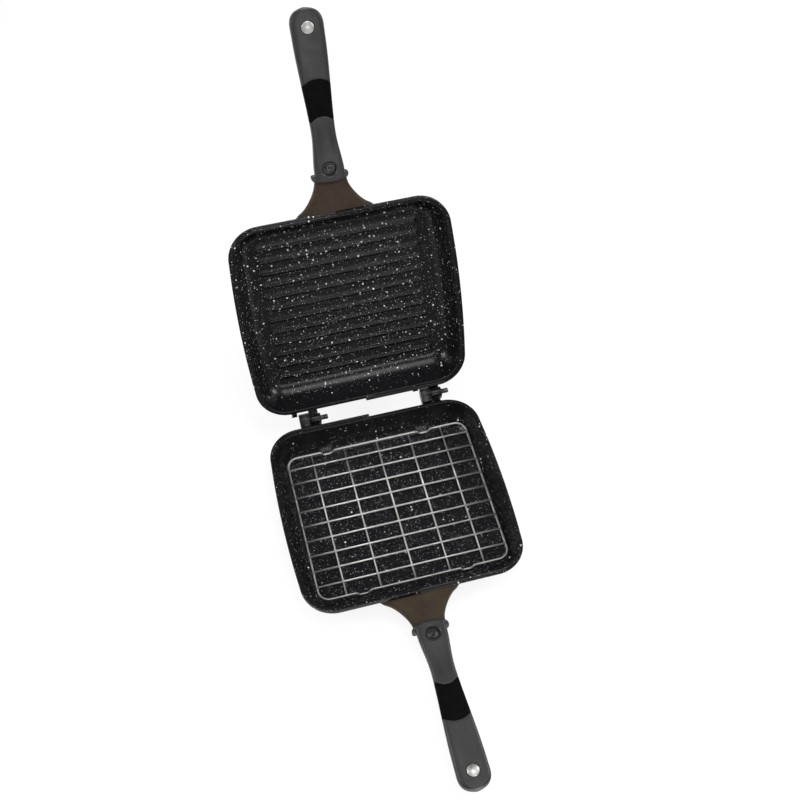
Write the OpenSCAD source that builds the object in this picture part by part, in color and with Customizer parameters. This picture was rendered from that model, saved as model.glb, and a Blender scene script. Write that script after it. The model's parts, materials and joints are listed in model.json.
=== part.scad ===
// Double sided flip pan: two cast halves on slide-on hinges, handles with magnets in them, and a wire rack.
//
// Both halves are drawn in one half frame. Its origin is on the hinge axis, x runs along that axis,
// y runs from it towards the handle, and z rises out of the open cavity from the parting plane.
// The lower half lies flat on its base. The upper half leans back against its open stop.

/* [Cast halves] */
// Width of a half over its bowed sides
pan_w = 264; // [240:1:300]
// Length of a half from its hinge side to its handle side
pan_l = 241.8; // [220:0.1:280]
// Depth of a half from the parting plane to its base
pan_depth = 39; // [37:0.5:50]
// Radius of the outline at the corners
corner_r = 38; // [30:1:50]
// How far each long side bows outwards
side_bow = 3; // [1:0.1:6]
// Thickness of the floor between the ribs
floor_t = 4.6; // [3:0.1:6]
// Height of the straight band under the rim
band_h = 3.6; // [3.4:0.1:9]
// Step from the band in to the outer wall
band_step = 2.2; // [1:0.1:2.4]
// Distance from the outline in to the edge of the base
base_inset = 21; // [18:0.5:24]
// Width of the rim, from the outline in to the cavity
rim_w = 6; // [5:0.25:8]
// Distance from the outline in to the edge of the flat floor
floor_inset = 22; // [20:0.5:25]
// Width of the shallow groove round the base
base_groove_w = 2; // [1:0.5:4]
// Depth of the groove round the base
base_groove_d = 0.8; // [0.4:0.1:1.2]

/* [Interlocking rim] */
// Gap between the two rims when the pan is shut
parting_gap = 0.3; // [0.2:0.05:0.6]
// Thickness of the lip on one side of each half
lip_w = 1.9; // [1.5:0.1:2.2]
// Height of the lip above the parting plane
lip_h = 2.6; // [1.5:0.1:3]
// Room round the lip of the other half
lip_room = 0.5; // [0.4:0.05:0.8]
// Room left between the ends of the two lips
lip_end_room = 0.6; // [0.4:0.1:1.5]

/* [Ribs of the upper half] */
// Number of ribs across the floor
rib_count = 12; // [6:1:13]
// Distance from the hinge side's outline to the first rib
rib_from_rim = 36.4; // [34:0.1:60]
// Distance from the handle side's outline to the last rib
rib_from_neck = 40.4; // [34:0.1:60]
// Distance from the sides to the ends of the ribs
rib_from_side = 35; // [30:0.5:60]
// Width of a rib where it meets the floor
rib_w = 5.5; // [4:0.5:10]
// Height of a rib above the floor
rib_h = 1.4; // [1:0.1:3]

/* [Neck and tang] */
// Length of the neck from the rim to the collar
neck_l = 35; // [28:0.1:50]
// Width of the neck at the collar
neck_w = 36.4; // [28:0.2:38]
// Width that the neck's flare adds on each side at the rim
neck_flare = 20.5; // [15:0.5:30]
// Width that the rounded inner corner adds to the flare at the rim
neck_fillet = 3; // [0:0.5:5]
// Drop of the neck's top face below the edge of the band
neck_drop = 0.7; // [0.3:0.1:0.9]
// Thickness of the neck
neck_t = 11; // [8:0.5:14]
// Width of the bevel along each edge of the neck
neck_bevel = 4; // [2:0.5:5]
// Width of the tang inside the handle
tang_w = 18; // [14:0.5:20]
// Thickness of the tang
tang_t = 6; // [4:0.5:7]
// Length of the tang beyond the collar
tang_l = 30; // [20:1:45]

/* [Collar] */
// Width of the collar
collar_w = 42.2; // [38:0.2:50]
// Height of the collar
collar_h = 20.5; // [19:0.5:26]
// Thickness of the collar
collar_t = 5.2; // [4:0.1:8]
// Radius of the collar's corners
collar_r = 8; // [6:0.5:9]

/* [Handle] */
// Length of the handle from the collar to its tip
handle_l = 180.2; // [165:0.1:230]
// Width of the handle next to the collar
root_w = 34.2; // [32:0.2:38]
// Width of the handle at its waist
waist_w = 26.8; // [24:0.2:30]
// Distance from the collar to the waist
waist_at = 44; // [38:1:50]
// Greatest width of the handle near its tip
end_w = 35.8; // [32:0.2:42]
// Length of the rounded tip
tip_l = 18; // [14:0.5:24]
// Thickness of the handle next to the collar
root_h = 19.5; // [18.5:0.5:24]
// Thickness of the handle near its tip
end_h = 19; // [17:0.5:24]
// Drop of the handle's top face below the parting plane
handle_drop = 0.4; // [0.2:0.05:1]
// Depth of the thumb hollow between the collar and the sleeve
thumb_depth = 2; // [0:0.1:3]

/* [Grip sleeve] */
// Distance from the collar to the sleeve
sleeve_at = 62.5; // [58:0.5:70]
// Length of the sleeve
sleeve_l = 40; // [25:0.5:60]
// Thickness of the sleeve
sleeve_t = 1.6; // [1:0.1:2.5]
// How far the sleeve's ends curve towards the tip
sleeve_sag = 5.8; // [2:0.1:7]

/* [Handle screw] */
// Distance from the collar to the screw
screw_at = 9.4; // [8:0.1:12]
// Diameter of the screw's recess
recess_d = 14.8; // [13:0.2:15.6]
// Diameter of the recess's flared mouth
recess_mouth_d = 18; // [16:0.2:18.4]
// Depth of the recess below the parting plane
recess_depth = 6; // [5:0.1:6.5]
// Diameter of the screw's shank
screw_d = 4.8; // [4:0.1:6]
// Diameter of the screw's head
head_d = 9.2; // [8:0.1:10]
// Height of the screw's head
head_h = 2.4; // [1.5:0.1:3]
// Outer diameter of the washer
washer_d = 12; // [10.5:0.1:12.8]
// Thickness of the washer
washer_t = 1; // [0.6:0.1:1.5]
// Outer diameter of the sleeve nut's flange
nut_d = 11; // [9:0.2:12]
// Outer diameter of the sleeve nut's barrel
barrel_d = 7; // [6.4:0.1:8]
// Thickness of the sleeve nut's flange
nut_flange_t = 1.6; // [1:0.1:2.5]

/* [Magnet] */
// Distance from the handle's tip to the magnet
magnet_from_tip = 18.2; // [16:0.1:30]
// Diameter of the magnet
magnet_d = 13.2; // [10:0.2:18]
// Thickness of the magnet
magnet_t = 5; // [3:0.5:6]
// Thickness of the steel keeper behind the magnet
keeper_t = 1.2; // [0.8:0.1:2]
// Drop of the magnet's face below the parting plane
magnet_drop = 0.25; // [0.15:0.05:0.4]

/* [Hinges] */
// Distance from the hinge axis to the rims
rim_to_axis = 10.8; // [10.6:0.1:16]
// Angle between the two halves at the open stop
open_angle = 117.9; // [100:0.1:125]
// Distance from each side of the pan to the joint of its hinge
hinge_from_side = 56.2; // [50:0.2:72]
// Offset of the pair of hinges towards the free ends of the pins
hinge_shift = 4.25; // [0:0.25:6]
// Diameter of the hinge pins
pin_d = 6; // [5:0.1:6.4]
// Radial clearance of a pin in the upper knuckle
pin_play = 0.05; // [0.02:0.01:0.1]
// Radial clearance of a pin in the lower lug
pin_seat_play = 0.02; // [0.01:0.01:0.04]
// Length of pin that stands free beyond the knuckle
pin_free = 8.8; // [4:0.2:12]
// Width of a lower lug
lug_w = 12.3; // [9:0.1:14]
// Width of an upper knuckle
knuckle_w = 13.4; // [10:0.1:15]
// Diameter of an upper knuckle
knuckle_d = 12.6; // [11.6:0.1:13.2]
// Side gap between a lug and its knuckle
hinge_gap = 0.3; // [0.2:0.05:0.6]
// Width of the locating nub beside each lug
nub_w = 6.8; // [4:0.2:8]
// Gap between the nub and the lug
nub_gap = 1.2; // [0.6:0.1:2]
// Gap left at the open stop
stop_gap = 0.3; // [0.2:0.05:0.6]

/* [Wire rack] */
// Distance from the pan's sides to the centres of the rack's side wires
rack_from_side = 20.3; // [20:0.1:30]
// Distance from the hinge side's outline to the rack's first wire
rack_from_rim = 21.9; // [21.5:0.1:30]
// Distance from the handle side's outline to the rack's last wire
rack_from_neck = 28.5; // [21.5:0.1:40]
// Diameter of the frame wire
frame_d = 2.6; // [2:0.1:3.2]
// Diameter of the inner wires
wire_d = 2; // [1.5:0.1:2.6]
// Number of long inner wires
long_count = 5; // [3:1:6]
// Room between the outermost long wires and the side wires
long_from_side = 30.7; // [12:0.1:40]
// Number of cross wires
cross_count = 9; // [7:1:9]
// Room between the hinge side's end wire and the first cross wire
cross_from_rim = 17; // [10:0.1:24]
// Room between the handle side's end wire and the last cross wire
cross_from_neck = 16.8; // [10:0.1:24]
// Corner radius of the frame wire
rack_corner_r = 13; // [8:0.5:18]
// Depth of the feet bent into the end wires
foot_depth = 6; // [4:0.5:8]
// Width of a foot at its top
foot_w = 20; // [14:0.5:24]
// Gap between the feet and the floor
foot_gap = 0.6; // [0.3:0.1:1]
// How far the rack lies to one side
rack_shift = 2.2; // [0:0.1:3]

/* [Hidden] */

$fn = 48;
eps = 0.01;
coat_black = "#1b1a1c";
grip_grey = "#4a4849";
sleeve_black = "#0d0c0b";
steel = "#b9bbbd";
chrome = "#d5d7d9";

// Rim and cavity heights in the half frame
rim_z = -parting_gap/2;
rabbet_w = lip_w + lip_room;
rabbet_z = -(lip_h + lip_room + parting_gap/2);
floor_z = -(pan_depth - floor_t);
outer_power = 1.5;
wall_steps = 8;
// The inner wall is part of an ellipse, from the floor up to this angle at the rim
wall_sweep = 84;
groove_inset = base_inset + 6;

// Places along a half, from the hinge axis
pan_y0 = rim_to_axis;
pan_mid = pan_y0 + pan_l/2;
pan_y1 = pan_y0 + pan_l;
collar_y = pan_y1 + neck_l;
handle_y = collar_y + collar_t;
tip_y = handle_y + handle_l;
screw_y = handle_y + screw_at;
sleeve_y = handle_y + sleeve_at;
magnet_y = tip_y - magnet_from_tip;

// Heights of what is stacked at the screw
recess_z = -recess_depth;
tang_top = recess_z - 1.2;
tang_bottom = tang_top - tang_t;
recess_flare_h = 1.8;
slot_room = 0.1;
handle_wide_z = -8;
bore_room = 0.1;

// The hinge axis in the part's frame, whose origin is the centre of the lower base
axis_y = pan_mid;
axis_z = pan_depth;

lean_angle = 180 - open_angle;
knuckle_r = knuckle_d/2;

// A half's pieces, carried from the half frame to their place at rest
module lower_place() translate([0, axis_y, axis_z]) mirror([0, 1, 0]) children();
module upper_place() translate([0, axis_y, axis_z]) rotate([lean_angle, 0, 0]) rotate([0, 0, 180])
    mirror([0, 1, 0]) children();

// Smooth curve through knots [position, value], with Catmull-Rom slopes
function slope(k, i) = let (a = max(i - 1, 0), b = min(i + 1, len(k) - 1))
    (k[b][1] - k[a][1])/(k[b][0] - k[a][0]);
function span(k, s, i = 0) = i >= len(k) - 2 || s < k[i + 1][0] ? i : span(k, s, i + 1);
function curve(k, s) = let (i = span(k, s), h = k[i + 1][0] - k[i][0],
    t = min(max((s - k[i][0])/h, 0), 1), m0 = slope(k, i)*h, m1 = slope(k, i + 1)*h)
    (2*t^3 - 3*t^2 + 1)*k[i][1] + (t^3 - 2*t^2 + t)*m0 + (3*t^2 - 2*t^3)*k[i + 1][1] + (t^3 - t^2)*m1;

// Solid skinned over a list of rings that have the same number of points
module skin(rings) {
    n = len(rings[0]);
    m = len(rings);
    polyhedron(
        points = [for (r = rings) each r],
        faces = concat(
            [[for (i = [0 : n - 1]) i]],
            [for (j = [0 : m - 2], i = [0 : n - 1]) each
                [[j*n + i, (j + 1)*n + i, (j + 1)*n + (i + 1)%n],
                 [j*n + i, (j + 1)*n + (i + 1)%n, j*n + (i + 1)%n]]],
            [[for (i = [n - 1 : -1 : 0]) (m - 1)*n + i]]),
        convexity = 8);
}

// Closed tube skinned over a loop of rings
module loop_skin(rings) {
    n = len(rings[0]);
    m = len(rings);
    polyhedron(
        points = [for (r = rings) each r],
        faces = [for (j = [0 : m - 1], i = [0 : n - 1]) let (k = (j + 1)%m) each
            [[j*n + i, k*n + i, k*n + (i + 1)%n], [j*n + i, k*n + (i + 1)%n, j*n + (i + 1)%n]]],
        convexity = 8);
}

// Profile [y, z] drawn out along x from x0 to x1
module along_x(x0, x1) translate([x0, 0, 0]) rotate([90, 0, 90]) linear_extrude(x1 - x0) children();

// ---- Cast half ----

// The outline is kept as centres, outward normals and radii, so that any inset follows from it
half_w = pan_w/2;
half_l = pan_l/2;
side_run = half_l - corner_r;
side_r = (side_run^2 + side_bow^2)/(2*side_bow);
bow_angle = asin(side_run/(side_r - corner_r));
side_c = half_w - side_r;
corner_cx = side_c + (side_r - corner_r)*cos(bow_angle);
side_steps = 4;
corner_steps = 9;
quad = concat(
    [for (i = [0 : side_steps]) let (a = bow_angle*i/side_steps) [side_c, 0, cos(a), sin(a), side_r]],
    [for (i = [1 : corner_steps]) let (a = bow_angle + (90 - bow_angle)*i/corner_steps)
        [corner_cx, side_run, cos(a), sin(a), corner_r]]);
quad_last = len(quad) - 1;
function quad_point(i, sx, sy) = let (q = quad[i])
    [q[0]*sx, q[1]*sy, q[2]*sx, q[3]*sy, q[4], sx < 0];
// The lip half ends short of the middle, which leaves room beside the other half's lip
function seam_point(lip, sy) = [-(lip ? lip_end_room : lip_end_room/2), side_run*sy, 0, sy, corner_r, lip];
outline = concat(
    [for (i = [0 : quad_last]) quad_point(i, 1, 1)], [seam_point(false, 1), seam_point(true, 1)],
    [for (i = [quad_last : -1 : 0]) quad_point(i, -1, 1)],
    [for (i = [1 : quad_last]) quad_point(i, -1, -1)],
    [seam_point(true, -1), seam_point(false, -1)], [for (i = [quad_last : -1 : 1]) quad_point(i, 1, -1)]);

// Ring of the outline, with one [inset, z] on the tongue side and another on the lip side
function ring(tongue, lip) = [for (q = outline) let (p = q[5] ? lip : tongue)
    [q[0] + (q[4] - p[0])*q[2], pan_mid + q[1] + (q[4] - p[0])*q[3], p[1]]];
function even_ring(p) = ring(p, p);

wall_top = -(band_h + band_step);
outer_wall = [for (i = [0 : wall_steps]) let (s = i/wall_steps)
    [base_inset - (base_inset - band_step)*s, -pan_depth + (pan_depth + wall_top)*s^outer_power]];
inner_wall = [for (i = [wall_steps : -1 : 0]) let (a = wall_sweep*i/wall_steps)
    [floor_inset - (floor_inset - rim_w)*sin(a)/sin(wall_sweep),
     floor_z + (rim_z - floor_z)*(1 - cos(a))/(1 - cos(wall_sweep))]];

module tub() skin(concat(
    [for (p = outer_wall) even_ring(p)],
    [even_ring([0, -band_h]),
     ring([0, rabbet_z], [0, lip_h]),
     ring([rabbet_w, rabbet_z], [lip_w, lip_h]),
     ring([rabbet_w, rim_z], [lip_w, rim_z])],
    [for (p = inner_wall) even_ring(p)]));

module base_groove() translate([0, 0, -pan_depth - eps]) linear_extrude(base_groove_d + eps) difference() {
    polygon([for (p = even_ring([groove_inset, 0])) [p[0], p[1]]]);
    polygon([for (p = even_ring([groove_inset + base_groove_w, 0])) [p[0], p[1]]]);
}

// Each rib is the top of a round bar with round ends, sunk into the floor
rib_r = (rib_w^2/4 + rib_h^2)/(2*rib_h);
rib_end = half_w - rib_from_side - rib_w/2;
rib_pitch = (pan_l - rib_from_rim - rib_from_neck)/(rib_count - 1);
module ribs() intersection() {
    for (i = [0 : rib_count - 1])
        translate([0, pan_y0 + rib_from_rim + i*rib_pitch, floor_z + rib_h - rib_r]) {
            translate([-rib_end, 0, 0]) rotate([0, 90, 0]) cylinder(r = rib_r, h = 2*rib_end);
            for (x = [-rib_end, rib_end]) translate([x, 0, 0]) sphere(r = rib_r);
        }
    translate([-half_w, pan_y0, floor_z - floor_t/2]) cube([pan_w, pan_l, floor_t/2 + 2*rib_h]);
}

// The neck flares into the wall. It is skinned over sections from the front of the pan to the
// collar, and its root leans with the wall so that it ends inside the metal
neck_root_high = 4.5;
neck_root_low = 7.5;
neck_curve_y = pan_y1 + 0.5;
neck_steps = 16;
neck_power = 1.65;
neck_fillet_power = 12;
function neck_share(y) = (collar_y - y)/(collar_y - pan_y1);
function neck_half(y) = neck_w/2 + neck_flare*neck_share(y)^neck_power
    + neck_fillet*min(neck_share(y), 1)^neck_fillet_power;
neck_top = -(band_h + neck_drop);
neck_foot = 2;
// One side of the section, as [inset, z] from the foot up to the top
neck_side = [
    [neck_foot, neck_top - neck_t], [0, neck_top - neck_t + neck_foot], [0, neck_top - neck_bevel*0.6],
    [neck_bevel*0.35, neck_top - neck_bevel*0.2], [neck_bevel, neck_top]];
neck_outline = concat([for (p = neck_side) [-1, p[0], p[1]]],
                      [for (i = [len(neck_side) - 1 : -1 : 0]) [1, neck_side[i][0], neck_side[i][1]]]);
function neck_section(y) = [for (p = neck_outline) [p[0]*(neck_half(y) - p[1]), y, p[2]]];
function neck_root() = let (h = neck_half(pan_y1 - (neck_root_high + neck_root_low)/2))
    [for (p = neck_outline) [p[0]*(h - p[1]),
        pan_y1 - neck_root_high - (neck_root_low - neck_root_high)*(neck_top - p[2])/neck_t, p[2]]];
module neck() skin(concat([neck_root()],
    [for (i = [0 : neck_steps]) neck_section(neck_curve_y + (collar_y - neck_curve_y)*i/neck_steps)]));

module tang() difference() {
    translate([-tang_w/2, collar_y - 1, tang_bottom]) cube([tang_w, tang_l + collar_t + 1, tang_t]);
    translate([0, screw_y, tang_bottom - 1]) cylinder(d = screw_d + 2*bore_room, h = tang_t + 2);
}

module casting() {
    difference() {
        tub();
        base_groove();
    }
    neck();
    tang();
}

// ---- Hinges ----

// Faces where each lower lug meets its knuckle, in the part's frame
hinge_faces = [for (s = [-1, 1]) hinge_shift + s*(half_w - hinge_from_side)];
lug_top = 8;
lug_back = -8;
pad_w = 12;
pad_back = 5;
pad_floor = -14;
// The roots of the hinge parts end inside the metal of the wall, which slopes
root_y = pan_y0 + 6.4;
root_low_y = root_y + 1.6;
root_top = -6.5;
root_foot = -17;
root = [[root_low_y, root_foot], [root_y, root_top], [pan_y0 + 3, root_top + 1]];

// A lug on the lip side may fill up to the lip, one on the tongue side stays under the other half's lip
function root_z(x) = x < 0 ? rim_z : rabbet_z - lip_room;

module lug_profile(z) polygon(concat(
    z < rim_z ? [[pan_y0 - 0.5, z]] : [],
    [[pan_y0 - 0.5, rim_z], [3, 6.5], [lug_back/2 + 0.5, lug_top],
     [lug_back, 4.5], [lug_back, -3.5], [-2, -9]],
    root, [[pan_y0 + 1, z]]));

module lower_lug(x) difference() {
    union() {
        along_x(x - lug_w, x) lug_profile(root_z(x));
        // Pad under the knuckle, which stops the upper half
        along_x(x, x + pad_w) polygon([
            [pad_back, -7], [pan_y0 + 1, -7], [root_y, -8], [root_low_y, root_foot],
            [pad_back + 2, pad_floor], [pad_back, pad_floor + 2]]);
    }
    translate([x - lug_w - 1, 0, 0]) rotate([0, 90, 0])
        cylinder(r = pin_d/2 + pin_seat_play, h = lug_w + 1.5);
}

// Heel of the knuckle, drawn where it meets the pad at the open stop
heel_r = 9.6;
module heel_profile() rotate(-lean_angle) mirror([1, 0]) intersection() {
    circle(r = heel_r);
    polygon([[0, 0], [pad_back - stop_gap, -3], [pad_back - stop_gap, -12], [-2.5, -12], [-3, 0]]);
}

arm_w = 11;
module upper_knuckle(x) difference() {
    union() {
        along_x(x - knuckle_w, x) {
            circle(r = knuckle_r);
            heel_profile();
        }
        along_x(x - arm_w, x) polygon(concat(
            [[-1, -knuckle_r + 0.4]], root,
            [[pan_y0 + 1, -band_h], [pan_y0 - 0.5, rabbet_z - lip_room], [4.5, 4]]));
    }
    translate([x - knuckle_w - 1, 0, 0]) rotate([0, 90, 0])
        cylinder(r = pin_d/2 + pin_play, h = knuckle_w + 2);
}

// Nub that keeps the upper half from sliding off while its edge is behind the lug
module nub(x0) along_x(x0, x0 + nub_w) polygon([
    [5.2, rabbet_z - 0.6], [pan_y0 + 4.5, rabbet_z - 0.6], [pan_y0 + 4.5, -8.5], [6.4, -7.6], [5.2, -6.2]]);

module lower_pan() color(coat_black) lower_place() {
    casting();
    for (x = hinge_faces) lower_lug(x);
}

// The upper half is turned about, so its x runs the other way. Only its floor has ribs, because
// the lower half's floor lies under the rack
module upper_pan() color(coat_black) upper_place() {
    casting();
    ribs();
    for (x = hinge_faces) {
        upper_knuckle(-x - hinge_gap);
        nub(-(x - lug_w - nub_gap));
    }
}

module hinge_pin(x) {
    tip = 0.8;
    length = lug_w + hinge_gap + knuckle_w + pin_free;
    translate([x - lug_w, axis_y, axis_z]) rotate([0, 90, 0]) {
        cylinder(r1 = pin_d/2 - tip, r2 = pin_d/2, h = tip);
        translate([0, 0, tip]) cylinder(d = pin_d, h = length - 2*tip);
        translate([0, 0, length - tip]) cylinder(r1 = pin_d/2, r2 = pin_d/2 - tip, h = tip);
    }
}
module left_hinge_pin() color(steel) hinge_pin(hinge_faces[0]);
module right_hinge_pin() color(steel) hinge_pin(hinge_faces[1]);

// ---- Collar ----

collar_top = -1;
collar_bead = 2;
collar_steps = 6;
// Rounded rectangle across the handle, with its inset and its place along the half
collar_corners = [[1, 1, 0], [-1, 1, 90], [-1, -1, 180], [1, -1, 270]];
function collar_ring(inset, y) = [for (c = collar_corners, i = [0 : collar_steps])
    let (a = c[2] + 90*i/collar_steps)
    [c[0]*(collar_w/2 - collar_r) + (collar_r - inset)*cos(a), y,
     collar_top - collar_h/2 + c[1]*(collar_h/2 - collar_r) + (collar_r - inset)*sin(a)]];

module collar() color(grip_grey) difference() {
    skin([for (t = [90 : -30 : -90])
        collar_ring(collar_bead*(1 - cos(t)), collar_y + collar_t/2 + collar_t/2*sin(t))]);
    translate([-tang_w/2 - slot_room, collar_y - 1, tang_bottom - slot_room])
        cube([tang_w + 2*slot_room, collar_t + 2, tang_t + 2*slot_room]);
}

// ---- Handle ----

handle_half = [
    [handle_y, root_w/2], [screw_y + 4, root_w/2 - 0.6], [handle_y + waist_at, waist_w/2],
    [sleeve_y + 6, waist_w/2 + 0.4], [sleeve_y + sleeve_l + 4, waist_w/2 + 2.6],
    [tip_y - tip_l - 28, end_w/2 - 0.5], [tip_y - tip_l, end_w/2]];
handle_height = [
    [handle_y, root_h], [handle_y + waist_at, root_h - 3], [sleeve_y + sleeve_l, root_h - 1.5],
    [tip_y - tip_l - 28, end_h], [tip_y, end_h]];
tip_power = 2.6;
function tip_share(y) = max(0, (y - (tip_y - tip_l))/tip_l);
function half_width(y) = curve(handle_half, y)*max(0.16, (1 - tip_share(y)^tip_power)^(1/tip_power));
function handle_bottom(y) = -handle_drop - curve(handle_height, y)*(1 - 0.22*tip_share(y)^3);
screw_tip_z = handle_bottom(screw_y) + nut_flange_t;

// How far the section at y curves towards the tip, so that the sleeve's ends are arcs
function sag(y) = curve([
    [handle_y, 0], [handle_y + 16, 0], [sleeve_y, sleeve_sag], [sleeve_y + sleeve_l, sleeve_sag],
    [magnet_y - magnet_d, 0], [tip_y, 0]], y);
function thumb(y) = thumb_depth*curve([
    [handle_y, 0], [screw_y + 6, 0.25], [handle_y + waist_at - 6, 1], [sleeve_y, 0.35],
    [sleeve_y + sleeve_l, 0.15], [tip_y - tip_l - 12, 0], [tip_y, 0]], y);

top_shares = [-1, -0.97, -0.9, -0.78, -0.62, -0.42, -0.2, 0, 0.2, 0.42, 0.62, 0.78, 0.9, 0.97, 1];
flat_power = 5;
round_power = 2.3;
under_steps = 9;
// Section of the handle: a flat top with a hollow, and a round underside, drawn in by an inset
function section(y, inset = 0) =
    let (w = half_width(y) - inset, bend = sag(y),
         low = handle_bottom(y) + inset, top = -handle_drop - inset)
    concat(
        [for (u = top_shares) [u*w, y + bend*(1 - u^2),
            handle_wide_z + (top - handle_wide_z)*(1 - abs(u)^flat_power)^(1/flat_power)
                - thumb(y)*max(0, 1 - (u/0.8)^2)]],
        [for (i = [1 : under_steps - 1])
            let (a = 180*i/under_steps, u = signed_power(cos(a), 2/round_power))
            [u*w, y + bend*(1 - u^2), handle_wide_z + (low - handle_wide_z)*sin(a)^(2/round_power)]]);
function signed_power(v, p) = sign(v)*abs(v)^p;

tip_steps = [0, 0.28, 0.5, 0.68, 0.82, 0.92, 0.98, 1];
front_ys = [0, 4, 10, 16, 24, 32, 40, 48, 55];
handle_front = concat([for (d = front_ys) handle_y + d], [sleeve_y]);
sleeve_ys = [for (i = [0 : 5]) sleeve_y + sleeve_l*i/5];
back_y0 = sleeve_y + sleeve_l;
back_y1 = tip_y - tip_l;
handle_back = concat([for (i = [0 : 7]) back_y0 + (back_y1 - back_y0)*i/7],
    [for (s = tip_steps) if (s > 0) back_y1 + tip_l*s]);
sleeve_joint = 0.1;

module handle_body() skin(concat(
    [for (y = handle_front) section(y)],
    [for (y = sleeve_ys) section(y, sleeve_t)],
    [for (y = handle_back) section(y)]));

module handle() color(grip_grey) difference() {
    handle_body();
    // Socket for the tang
    translate([-tang_w/2 - slot_room, handle_y - 1, tang_bottom - slot_room])
        cube([tang_w + 2*slot_room, tang_l + 1 + slot_room, tang_t + 2*slot_room]);
    // Recess and bore for the screw
    translate([0, screw_y, recess_z]) cylinder(d = recess_d, h = recess_depth + 1);
    translate([0, screw_y, -handle_drop - recess_flare_h])
        cylinder(d1 = recess_d, d2 = recess_mouth_d, h = recess_flare_h + eps);
    translate([0, screw_y, -60]) cylinder(d = barrel_d + 2*bore_room, h = 60 + tang_bottom);
    translate([0, screw_y, tang_top - 1]) cylinder(d = screw_d + 2*bore_room, h = 4);
    translate([0, screw_y, handle_bottom(screw_y) - 9])
        cylinder(d = nut_d + 2*bore_room, h = 9 + nut_flange_t);
    // Pocket for the magnet and its keeper
    translate([0, magnet_y, -magnet_drop - magnet_t - keeper_t])
        cylinder(d = magnet_d + 2*bore_room, h = magnet_t + keeper_t + 2);
}

module sleeve() color(sleeve_black) {
    ys = sleeve_ys;
    last = len(ys) - 1;
    // Drawn as one loop: outside from end to end, then back along the inside
    loop_skin(concat(
        [for (i = [0 : last]) section_at(ys[i], i == 0 ? sleeve_joint : i == last ? -sleeve_joint : 0, 0)],
        [for (i = [last : -1 : 0]) section_at(ys[i], i == 0 ? sleeve_joint : i == last ? -sleeve_joint : 0,
            sleeve_t - sleeve_joint)]));
}
function section_at(y, shift, inset) = [for (p = section(y, inset)) [p[0], p[1] + shift, p[2]]];

// ---- Handle fastening ----

cross_w = 1.3;
cross_l = 5;
cross_depth = 1.3;
module screw() color(steel) translate([0, screw_y, recess_z + washer_t]) difference() {
    union() {
        cylinder(d = head_d, h = head_h - 0.6);
        translate([0, 0, head_h - 0.6]) cylinder(d1 = head_d, d2 = head_d - 2.4, h = 0.6);
        translate([0, 0, screw_tip_z - recess_z - washer_t])
            cylinder(d = screw_d, h = recess_z + washer_t - screw_tip_z + eps);
    }
    for (a = [0, 90]) rotate(a)
        translate([-cross_l/2, -cross_w/2, head_h - cross_depth]) cube([cross_l, cross_w, cross_depth + 1]);
}

module washer() color(steel) translate([0, screw_y, recess_z]) difference() {
    cylinder(d = washer_d, h = washer_t);
    translate([0, 0, -1]) cylinder(d = screw_d + 2*bore_room, h = washer_t + 2);
}

// Sleeve nut let into the handle's underside
module nut() color(steel) translate([0, screw_y, handle_bottom(screw_y)]) difference() {
    union() {
        cylinder(d = nut_d, h = nut_flange_t);
        cylinder(d = barrel_d, h = tang_bottom - slot_room - handle_bottom(screw_y));
    }
    translate([0, 0, nut_flange_t]) cylinder(d = screw_d, h = 40);
}

// ---- Magnet ----

module magnet() color(chrome) translate([0, magnet_y, -magnet_drop - magnet_t]) {
    edge = 0.5;
    cylinder(d = magnet_d, h = magnet_t - edge);
    translate([0, 0, magnet_t - edge]) cylinder(d1 = magnet_d, d2 = magnet_d - 2*edge, h = edge);
}

module keeper() color(steel) translate([0, magnet_y, -magnet_drop - magnet_t - keeper_t])
    cylinder(d = magnet_d, h = keeper_t);

// ---- Wire rack ----

weld = 0.1;
rack_w = pan_w - 2*rack_from_side;
rack_l = pan_l - rack_from_rim - rack_from_neck;
long_pitch = (rack_w - 2*long_from_side)/(long_count - 1);
cross_first = -rack_l/2 + cross_from_rim;
cross_pitch = (rack_l - cross_from_rim - cross_from_neck)/(cross_count - 1);
rack_mid = pan_y0 + rack_from_rim + rack_l/2;
rack_z = floor_z + foot_gap + foot_depth + frame_d/2;
cross_z = rack_z + frame_d/2 + wire_d/2 - weld;
long_z = cross_z - wire_d + weld;
foot_flat = 8;
foot_x = (long_count/2 - 1)*long_pitch;

// Half of an end wire's path, from its corner to the middle, with the foot bent into it
foot_bend = [
    [-foot_w/2, 0], [-foot_w/2 + 1.5, -0.4],
    [-foot_flat/2 - 1, 0.4 - foot_depth], [-foot_flat/2 + 0.8, -foot_depth]];
foot_path = concat(foot_bend,
    [for (i = [len(foot_bend) - 1 : -1 : 0]) [-foot_bend[i][0], foot_bend[i][1]]]);
bend_steps = 6;
function rack_quarter(sx, sy, a0) = [for (i = [0 : bend_steps]) let (a = a0 + 90*i/bend_steps)
    [sx*(rack_w/2 - rack_corner_r) + rack_corner_r*cos(a),
     sy*(rack_l/2 - rack_corner_r) + rack_corner_r*sin(a), 0]];
// Feet of an end wire, in the order that the path runs
function rack_feet(dir, y) = [for (s = [-1, 1], p = foot_path) [dir*(s*foot_x + p[0]), y, p[1]]];
rack_path = concat(
    rack_quarter(1, 1, 0), rack_feet(-1, rack_l/2), rack_quarter(-1, 1, 90),
    rack_quarter(-1, -1, 180), rack_feet(1, -rack_l/2), rack_quarter(1, -1, 270));

// Rings of a round wire along a closed path
wire_sides = 10;
function unit(v) = v/norm(v);
function wire_rings(path, r) = [for (i = [0 : len(path) - 1])
    let (n = len(path), t = unit(path[(i + 1)%n] - path[(i + n - 1)%n]),
         side = unit(cross(t, [0, 0, 1])), up = cross(t, side))
    [for (k = [0 : wire_sides - 1]) path[i] + r*(cos(360*k/wire_sides)*side + sin(360*k/wire_sides)*up)]];

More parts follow.
